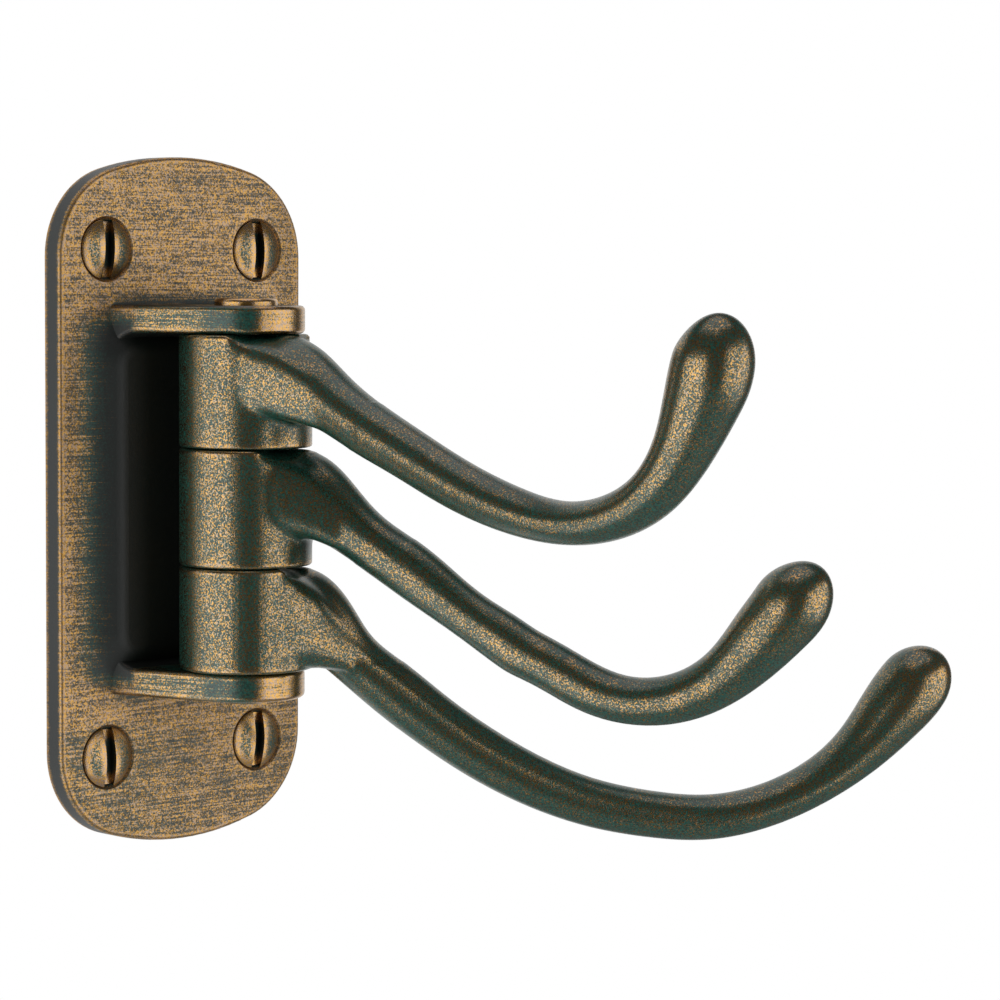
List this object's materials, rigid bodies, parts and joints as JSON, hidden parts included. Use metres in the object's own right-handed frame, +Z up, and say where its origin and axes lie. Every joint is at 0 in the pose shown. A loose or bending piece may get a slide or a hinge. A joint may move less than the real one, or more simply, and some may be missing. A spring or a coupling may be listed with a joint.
{
  "type": "swivel towel hook",
  "caption": "Wall-mounted swivel hook: a cast plate with two ears, a pivot pin, and stacked curved arms that swing sideways, each ending in a rounded tip.",
  "frame": {"origin": "middle of the wall plate's back face, on the wall", "axes": "+Z up the wall, +Y into the wall so that the arms stand out towards -Y, +X to the right seen from the front"},
  "size_m": [0.0948, 0.1149, 0.0874],
  "materials": {
    "plate_brass": "antique brass, finely brushed with dark patina",
    "arm_brass": "antique brass, dark green-brown patina rubbed on the high places",
    "pin_brass": "antique brass",
    "screw_brass": "antique brass"
  },
  "bodies": {
    "plate": {"wall_plate": "plate_brass", "pivot_pin": "pin_brass", "screw_upper_left": "screw_brass", "screw_upper_right": "screw_brass", "screw_lower_left": "screw_brass", "screw_lower_right": "screw_brass"},
    "upper_arm": {"upper_arm": "arm_brass"},
    "middle_arm": {"middle_arm": "arm_brass"},
    "lower_arm": {"lower_arm": "arm_brass"}
  },
  "joints": [
    {"name": "upper_arm_swing", "type": "hinge", "parent": "plate", "child": "upper_arm", "pos_m": [0, -0.01535, 0.01445], "axis": [0, 0, 1], "range_deg": [-100.3, 89.7]},
    {"name": "middle_arm_swing", "type": "hinge", "parent": "plate", "child": "middle_arm", "pos_m": [0, -0.01535, -0.00005], "axis": [0, 0, 1], "range_deg": [-125.3, 64.7]},
    {"name": "lower_arm_swing", "type": "hinge", "parent": "plate", "child": "lower_arm", "pos_m": [0, -0.01535, -0.014], "axis": [0, 0, 1], "range_deg": [-149.3, 40.7]}
  ]
}
